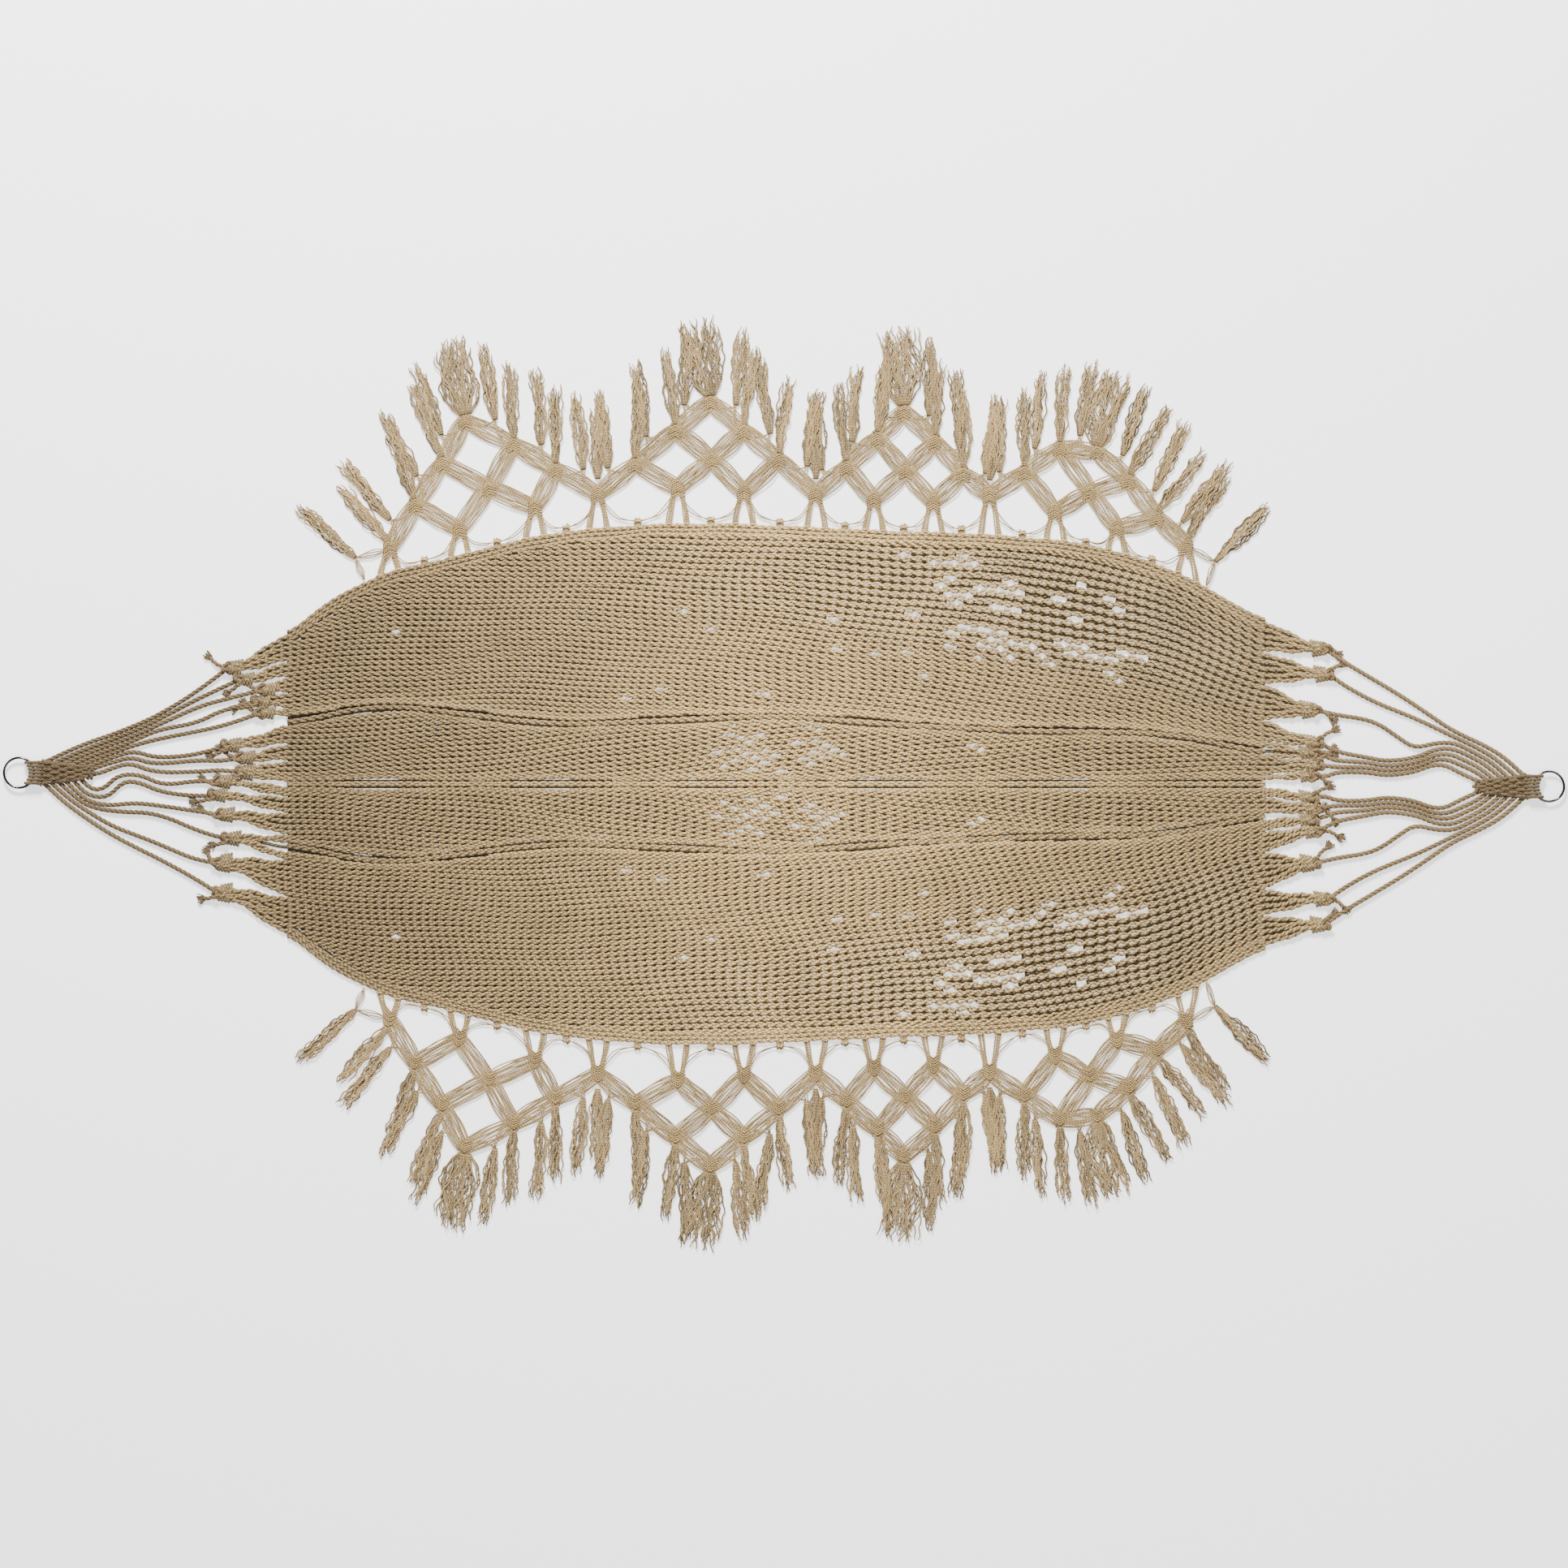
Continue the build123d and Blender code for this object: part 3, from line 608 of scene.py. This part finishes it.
def tassel(bundle, root, length=tassel_length, threads=tassel_threads, spread=1.0):
    """One bundle of loose threads from its root to its frayed tip."""
    lean = lean_at(root[0]) + random.uniform(-0.16, 0.16)
    out, across = np.array([-math.sin(-lean), math.cos(lean)]), np.array([math.cos(lean), -math.sin(lean)])
    for k in range(threads):
        place = (k - (threads - 1) / 2) / threads * 2 + random.uniform(-0.12, 0.12)
        own = length * random.uniform(0.78, 1.0)
        t = np.linspace(0, 1, 19)
        width = np.interp(t, [0, 0.12, 0.45, 0.8, 1.0], [3.0, 5.6, 9.2, 8.4, 8.8]) * spread
        crimp = np.sin(t * own / random.uniform(3.2, 4.6) + random.uniform(0, 6))
        drift = np.sin(t * random.uniform(3, 8) + random.uniform(0, 6))
        wave = (1.7 * crimp + 4.2 * spread ** 0.6 * drift) * np.clip(t * 4, 0, 1)
        flat = (np.array(root) + out * (t * own)[:, None]
                + across * (place * width + wave)[:, None])
        layer = random.uniform(-1.6, 2.6)
        pz = fringe_height + layer * np.clip(t * 5, 0, 1) + 0.4 * crimp
        size = 2.5 * np.interp(t, [0, 0.9, 1.0], [1.0, 1.0, 0.6])
        # threads lying higher are painted lighter and those under them darker, a painted shade, and all are
        # lighter towards the tips
        strand(bundle, np.column_stack([flat, pz]), size, size, (0, 0, 1), sides=4,
               shade=(0.50 + 0.08 * layer + 0.12 * t) * random.uniform(0.85, 1.1))


valleys = [rows[0][-1] for rows in triangles[:-1]]
still_roots = list(end_roots)
for number, rows in enumerate(triangles):
    chain = chain_of(rows)
    roots = [between(a, b) for a, b in zip(chain, chain[1:])]
    roots += [(px, py + 9) for px, py in chain[1:-1]]
    roots += [(px, py + 24) for px, py in valleys[number:number + 1]]
    bundle = []
    for root in roots:
        if root[1] > fringe_swing_y - 6:
            peak = root[1] - 9 == rows[-1][0][1]
            tassel(bundle, root, threads=40 if peak else tassel_threads, spread=3.0 if peak else 1.0)
        else:
            still_roots.append(root)
    both_sides(f"tassel_row_{number + 1}", bundle, [f"tassels_{number + 1}"], "fringe")
bundle = []
for root in still_roots + [(px, py + 9) for px, py in (base_knots[0], base_knots[-1])]:
    tassel(bundle, root)
both_sides("end_tassels_loose", bundle, ["end_tassels"], "bed")

# ---------------------------------------------------------------- clew ropes
# Fourteen legs of 6 mm three-strand cotton rope run from the woven strip at each ring to the tabs,
# slack on the ground, and each is tied to its tab with an overhand knot.
rope = 6.0
rope_pitch = 19.0  # one full turn of its strands
strand_size = rope / 2.155  # three of this size just fill the rope
strand_out = strand_size / math.sqrt(3)
slack_size = 1.35  # a slack leg's lay opens, so it lies thicker than the rope's own size
slack_height = 4.0  # middle of a slack leg above the ground
# Three-strand laid cotton rope, a little darker and smoother than the net, with fine twisted yarns.
laid_rope = cotton("laid_cotton_rope", "BEA070", "745A36", 5, 11, 1.4, 0.35)
left_legs = [
    [(-1187, 33), (-1155, 49), (-1115, 66), (-1076, 79), (-1040, 93), (-1000, 111), (-965, 127)],
    [(-1174, 31), (-1144, 45), (-1112, 58.5), (-1077, 71), (-1040, 85.5), (-1001, 103), (-965, 119)],
    [(-1162, 29), (-1134, 41.5), (-1106, 53.5), (-1074, 65), (-1040, 77.5), (-1001, 95), (-965, 111)],
    [(-1150, 27.5), (-1125, 38), (-1099, 49), (-1070, 58.5), (-1040, 70), (-1002, 87), (-965, 103)],
    [(-1138, 26), (-1115, 34.7), (-1088, 45.5), (-1064, 54), (-1035, 63.5), (-998, 73), (-965, 65)],
    [(-1126, 24), (-1103, 32), (-1075, 43), (-1040, 53.5), (-1004, 41), (-965, 39.5)],
    [(-1118, 20), (-1097, 28), (-1074, 35), (-1044, 43.5), (-1010, 31), (-965, 30.5)],
    [(-1113, 14), (-1094, 17.5), (-1074, 26), (-1046, 34), (-1008, 18), (-965, 9)],
    [(-1130, 12), (-1112, -8), (-1090, -9), (-1066, 15), (-1031, 15.5), (-994, -2.5), (-965, -6)],
    [(-1141, 10), (-1124, -11), (-1104, -21), (-1081, -20), (-1057, 5), (-1030, 2), (-998, -13),
     (-965, -15)],
    [(-1153, 8), (-1132, -14), (-1108, -30), (-1080, -34.5), (-1040, -30), (-1003, -34), (-965, -25)],
    [(-1165, 7), (-1140, -17), (-1111, -37.5), (-1063, -45), (-1003, -46), (-965, -59)],
    [(-1177, 6), (-1150, -20), (-1112, -46), (-1072, -69), (-1031, -84), (-996, -98), (-965, -115)],
    [(-1187, 4), (-1160, -23), (-1123, -51), (-1079, -80), (-1031, -105), (-996, -122), (-965, -140)],
]
left_tails = [
    [(-936, 150)], [(-934, 139)], [(-930, 127), (-888, 137)], [(-938, 98), (-900, 119)],
    [(-930, 86), (-884, 97)], [(-930, 48)], [(-932, 38.5), (-900, 36)], [(-932, 20), (-900, 23)],
    [(-938, 6)], [(-940, -20)], [(-936, -44)], [(-925, -81)], [(-936, -124)], [(-936, -155)],
]
right_back_legs = [
    [(1187, 11), (1160, 38), (1124, 61), (1072, 84), (1030, 113), (988, 141), (946, 166), (905, 190)],
    [(1174, 10), (1146, 36), (1112, 57), (1072, 75.5), (1016, 103), (960, 125), (930, 139), (905, 149)],
    [(1161, 8.5), (1136, 33), (1105, 50), (1074, 66), (1044, 66), (1010, 57), (984, 74), (956, 94),
     (930, 104), (905, 109)],
    [(1151, 7), (1127, 28.5), (1098, 44.5), (1070, 57), (1044, 56), (1012, 42), (965, 36), (931, 43),
     (905, 44)],
    [(1139, 5.5), (1116, 25), (1091, 37), (1067, 48), (1042, 47), (1011, 34), (965, 28), (931, 35),
     (905, 36)],
    [(1129, 4), (1109, 19), (1086, 29), (1062, 39.5), (1039, 38.5), (1010, 26.5), (965, 20.5),
     (931, 27), (905, 28)],
    [(1118, 2), (1100, 9.5), (1080, 19), (1058, 30.5), (1036, 30), (1008, 18.5), (965, 13), (931, 19),
     (905, 20)],
]
right_back_tails = [
    [(890, 199)], [(890, 162)], [(880, 111)], [(880, 52)], [(884, 37), (868, 44)], [(882, 26)],
    [(884, 19), (868, 11)],
]
clew_mirror = -8.0


def other_side(points):
    return [(px, clew_mirror - py) for px, py in points]


right_legs = right_back_legs + [other_side(p) for p in reversed(right_back_legs)]
right_tails = right_back_tails + [other_side(p) for p in reversed(right_back_tails)]


def route_points(points, step):
    """Points spaced evenly along the smooth line of a route, in millimetres."""
    curve = bpy.data.curves.new("route", "CURVE")
    curve.dimensions = "3D"
    curve.resolution_u = 16
    spline = curve.splines.new("NURBS")
    spline.points.add(len(points) - 1)
    for own, point in zip(spline.points, points):
        own.co = (*[v * mm for v in point], 1)
    spline.order_u = 3
    spline.use_endpoint_u = True
    holder = bpy.data.objects.new("route", curve)
    mesh = bpy.data.meshes.new_from_object(holder)
    line = np.array([v.co for v in mesh.vertices]) / mm
    bpy.data.objects.remove(holder)
    bpy.data.meshes.remove(mesh)
    bpy.data.curves.remove(curve)
    run = np.concatenate([[0], np.cumsum(np.linalg.norm(np.diff(line, axis=0), axis=1))])
    even = np.linspace(0, run[-1], max(4, int(run[-1] / step) + 1))
    return np.column_stack([np.interp(even, run, line[:, i]) for i in range(3)])


def lay_rope(bundle, line, shade=1.0, start=0.0, up=(0, 0, 1), size=1.0):
    """Three strands laid round a line."""
    along = np.gradient(line, axis=0)
    along /= np.linalg.norm(along, axis=1)[:, None]
    side = np.cross(np.broadcast_to(up, line.shape), along)
    side /= np.linalg.norm(side, axis=1)[:, None]
    top = np.cross(along, side)
    run = np.concatenate([[0], np.cumsum(np.linalg.norm(np.diff(line, axis=0), axis=1))])
    for k in range(3):
        turn = start + 2 * np.pi * (run / (rope_pitch * size) + k / 3)
        radial = side * np.cos(turn)[:, None] + top * np.sin(turn)[:, None]
        strand(bundle, line + radial * strand_out * size, strand_size * size * 1.08, strand_size * size,
               radial, sides=6, shade=shade * random.uniform(0.94, 1.05))


def make_legs(side_name, legs, tails, knots, clew_shade):
    """The legs of one clew, each a free rope laid along its route to its knot at the tab."""
    for i, (leg, tail, knot) in enumerate(zip(legs, tails, knots)):
        route = [(px, py, slack_height) for px, py in leg[:-1] + tail] + [(*knot, 5.0)]
        line = route_points(route, 2.6)
        bundle = []
        lay_rope(bundle, line, clew_shade * random.uniform(0.95, 1.05), random.uniform(0, 6),
                 size=slack_size)
        piece = make_piece(f"{side_name}_clew_rope_{i + 1:02d}", bundle, laid_rope)
        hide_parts(f"{side_name}_leg_{i + 1:02d}")
        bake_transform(piece)


make_legs("left", left_legs, left_tails, left_knots, 0.42)
make_legs("right", right_legs, right_tails, right_knots, 0.58)

# ---------------------------------------------------------------- knots of the clew ropes
# Each leg of laid cotton rope ends in an overhand knot drawn tight round its tab.
# The cut end of the rope stands out past the knot, and its yarns have frayed.
knot_reach = 3.1  # a third of the half width of a knot, mm
knot_height, knot_rise = 8.2, 2.9
knot_size, tail_size = 1.12, 1.25  # loops drawn tight, and the end beyond them, to the rope's size
yarns = 22  # loose yarns at each frayed end


def overhand(bundle, at, turn, shade, tail):
    """An overhand knot with its frayed end, which points along the turn."""
    t = np.linspace(0.25, 2 * np.pi + 0.1, 40)
    px = (np.sin(t) + 2 * np.sin(2 * t)) * knot_reach
    py = (np.cos(t) - 2 * np.cos(2 * t)) * knot_reach
    pz = knot_height - np.sin(3 * t) * knot_rise
    c, s = math.cos(turn), math.sin(turn)
    loop = np.column_stack([at[0] + px * c - py * s, at[1] + px * s + py * c, pz])
    lay_rope(bundle, loop, shade, size=knot_size)
    out = np.array([c, s])
    reach = np.linspace(2, tail, 9)
    bow = np.sin(reach / tail * 3) * 4
    flat = np.array(at) + out * reach[:, None] + np.array([-s, c]) * bow[:, None]
    lay_rope(bundle, np.column_stack([flat, np.interp(reach, [2, tail], [8, 3.9])]), shade, size=tail_size)
    end = flat[-1]
    for k in range(yarns):
        place = k - (yarns - 1) / 2
        way = turn + place * 0.075 + random.uniform(-0.2, 0.2)
        long = random.uniform(7, 13)
        tip = end + long * np.array([math.cos(way), math.sin(way)])
        start = end - 2 * out + np.array([-s, c]) * place * 0.32
        strand(bundle, [(*start, 3.4), (*((start + tip) / 2), 3.8), (*tip, random.uniform(1.5, 6.0))],
               1.7, 1.7, (0, 0, 1), sides=4, shade=shade * random.uniform(0.95, 1.2))


for side_name, knots, clew_shade in (("left", left_knots, 0.46), ("right", right_knots, 0.60)):
    bundle = []
    out = math.pi if side_name == "left" else 0
    for i, knot in enumerate(knots):
        lean = (0.55 if i % 2 else -0.5) + random.uniform(-0.35, 0.35)
        overhand(bundle, knot, out + lean, clew_shade, random.uniform(20, 34))
    piece = make_piece(f"{side_name}_overhand_knots", bundle, laid_rope)
    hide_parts(f"{side_name}_leg_knots", f"{side_name}_leg_tails")
    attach(piece, "bed")

# ---------------------------------------------------------------- woven strips
# From the ring the fourteen ropes run in seven columns, over and under the ropes that cross to leave
# as legs, so that the strip narrows by a rope on each side at every crossing.
left_ring_x, left_ring_y = -1224.0, 18.0
right_ring_x, right_ring_y = 1224.0, -4.0
ring_radius, ring_height = 24.0, 8.4
bight_bend = 5.4
strip_start = 32.8
strip_length = 88.0
bight_pitch = 5.5
columns = 7
crossing = 12.5  # from one leaving rope to the next


def weave_strip(side_name, ring_x, ring_y, side, clew_shade):
    """The warps, two deep in each column, and the ropes that cross them."""
    bundle = []
    reach = np.arange(-4, strip_length + 3, 2.4)
    for column in range(columns):
        place = column - (columns - 1) / 2
        last = strip_length * (1.02 - 0.24 * abs(place) / 3) + 2
        own = reach[reach < last]
        narrow = np.interp(own, [0, strip_length], [1.03, 0.45])
        for layer in (0, 1):
            phase = np.pi * (column + layer)
            lift = 3.3 * np.cos(np.pi * own / crossing + phase)
            px = ring_x + side * (strip_start + own)
            py = ring_y + place * bight_pitch * narrow
            pz = 6.6 + (1.5 if layer else -1.5) + lift * 0.75
            lay_rope(bundle, np.column_stack([px, py, pz]), clew_shade, column * 1.7 + layer * 3.0)
    for k in range(7):
        px = ring_x + side * (strip_start + 6 + crossing * k)
        half = np.interp(6 + crossing * k, [0, strip_length], [20.5, 9])
        for hand in (1, -1):
            py = np.arange(-half, half + 1, 2.0)
            pz = 6.6 + 3.0 * np.cos(np.pi * py / bight_pitch + np.pi * (k + (hand > 0)))
            line = np.column_stack([px + side * (hand * 2.6 + py * 0.10), ring_y + py, pz])
            lay_rope(bundle, line, clew_shade * 0.95, k)
    piece = make_piece(f"{side_name}_woven_strip", bundle, laid_rope)
    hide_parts(f"{side_name}_clew_weave")
    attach(piece, f"{side_name}_clew")


weave_strip("left", left_ring_x, left_ring_y, 1, 0.33)
weave_strip("right", right_ring_x, right_ring_y, -1, 0.40)

# ---------------------------------------------------------------- bights on the rings
# Each of the seven cotton ropes is doubled round the ring wire, side by side with the others.
# Nothing else fixes the ring: both ends of each rope run on into the woven strip.


def make_bights(side_name, ring_x, ring_y, side, clew_shade):
    bundle = []
    for column in range(columns):
        off = bight_pitch * (column - (columns - 1) / 2)
        wire = ring_x + side * math.sqrt(ring_radius ** 2 - off ** 2)
        far = ring_x + side * (strip_start + 4)
        corner = bight_bend + 1.2
        line = [(far, ring_height + bight_bend - 0.6), (wire + side * 3, ring_height + bight_bend + 0.3),
                (wire - side * corner, ring_height + bight_bend), (wire - side * corner, ring_height),
                (wire - side * corner, ring_height - bight_bend), (wire + side * 3, ring_height - bight_bend),
                (far, ring_height - bight_bend + 0.6)]
        smooth_line = route_points([(px, ring_y + off, pz) for px, pz in line], 2.0)
        lay_rope(bundle, smooth_line, clew_shade, column * 1.3, up=(0, 1, 0), size=0.94)
    piece = make_piece(f"{side_name}_bights", bundle, laid_rope)
    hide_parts(f"{side_name}_ring_bights")
    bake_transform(piece)


make_bights("left", left_ring_x, left_ring_y, 1, 0.33)
make_bights("right", right_ring_x, right_ring_y, -1, 0.38)

# ---------------------------------------------------------------- rings
# Round wire of 4 mm, bent, butt-welded and chrome-plated. The plating is bright and mirrors its surroundings,
# with a faint haze from handling; here its colour is painted dark grey with lighter patches, a painted
# reflection of dark surroundings.
chrome = bpy.data.materials.new("chromed_welded_steel")
chrome.use_nodes = True
tree = chrome.node_tree
tree.nodes.clear()
place = add_node(tree, "ShaderNodeTexCoord")
haze_and_painted_reflection = add_node(tree, "ShaderNodeTexNoise", {"Scale": 1 / (6 * mm), "Detail": 5.0},
                {"Vector": place.outputs["Object"]})
rough = add_node(tree, "ShaderNodeMapRange", {"To Min": 0.08, "To Max": 0.24}, {"Value": haze_and_painted_reflection.outputs["Fac"]})
# dark grey, lighter where the haze noise is high: a painted reflection of dark surroundings
painted_reflection_tint = add_node(tree, "ShaderNodeMix", {"data_type": "RGBA", 6: linear("2A2C2E"), 7: linear("626466")},
                {0: haze_and_painted_reflection.outputs["Fac"]})
fine = add_node(tree, "ShaderNodeBump", {"Strength": 0.15, "Distance": 0.1 * mm},
                {"Height": haze_and_painted_reflection.outputs["Fac"]})
plating = add_node(tree, "ShaderNodeBsdfPrincipled", {"Metallic": 1.0},
                   {"Base Color": painted_reflection_tint.outputs[2], "Roughness": rough.outputs["Result"],
                    "Normal": fine.outputs[0]})
add_node(tree, "ShaderNodeOutputMaterial", {}, {"Surface": plating.outputs[0]})
for side_name in ("left", "right"):
    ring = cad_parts[f"{side_name}_ring"]
    ring.data.materials.clear()
    ring.data.materials.append(chrome)

# ---------------------------------------------------------------- floor, light and camera
# A pale seamless floor of matt paper, lit by two large soft lamps and a weak white sky.
# The camera looks straight down on the middle of the bed.
paper = bpy.data.materials.new("matt_backdrop_paper")
paper.use_nodes = True
sheet_shader = paper.node_tree.nodes["Principled BSDF"]
sheet_shader.inputs["Base Color"].default_value = linear("F8F8F8")
sheet_shader.inputs["Roughness"].default_value = 0.95
sheet_shader.inputs["Emission Color"].default_value = (1, 1, 1, 1)
sheet_shader.inputs["Emission Strength"].default_value = 1.1
bpy.ops.mesh.primitive_plane_add(size=30, location=(0, 0, -0.0005))
floor = bpy.context.object
floor.name = "floor"
floor.data.materials.append(paper)


def lamp(name, at, aim, power, size):
    data = bpy.data.lights.new(name, "AREA")
    data.energy = power
    data.size = size
    lamp_object = bpy.data.objects.new(name, data)
    bpy.context.scene.collection.objects.link(lamp_object)
    lamp_object.location = at
    direction = Vector(aim) - Vector(at)
    lamp_object.rotation_euler = direction.to_track_quat("-Z", "Y").to_euler()


lamp("key_lamp", (-0.8, 4.2, 3.6), (0, 0, 0), 900, 1.4)
lamp("fill_lamp", (1.6, -2.4, 5.0), (0, 0, 0), 160, 3.0)
world = bpy.data.worlds.new("studio")
bpy.context.scene.world = world
world.use_nodes = True
world.node_tree.nodes["Background"].inputs["Color"].default_value = (1, 1, 1, 1)
world.node_tree.nodes["Background"].inputs["Strength"].default_value = 0.25

camera_data = bpy.data.cameras.new("camera")
camera_data.lens = 100
camera_data.sensor_width = 36
camera = bpy.data.objects.new("camera", camera_data)
bpy.context.scene.collection.objects.link(camera)
camera.location = (0, 0, 6.977)
bpy.context.scene.camera = camera
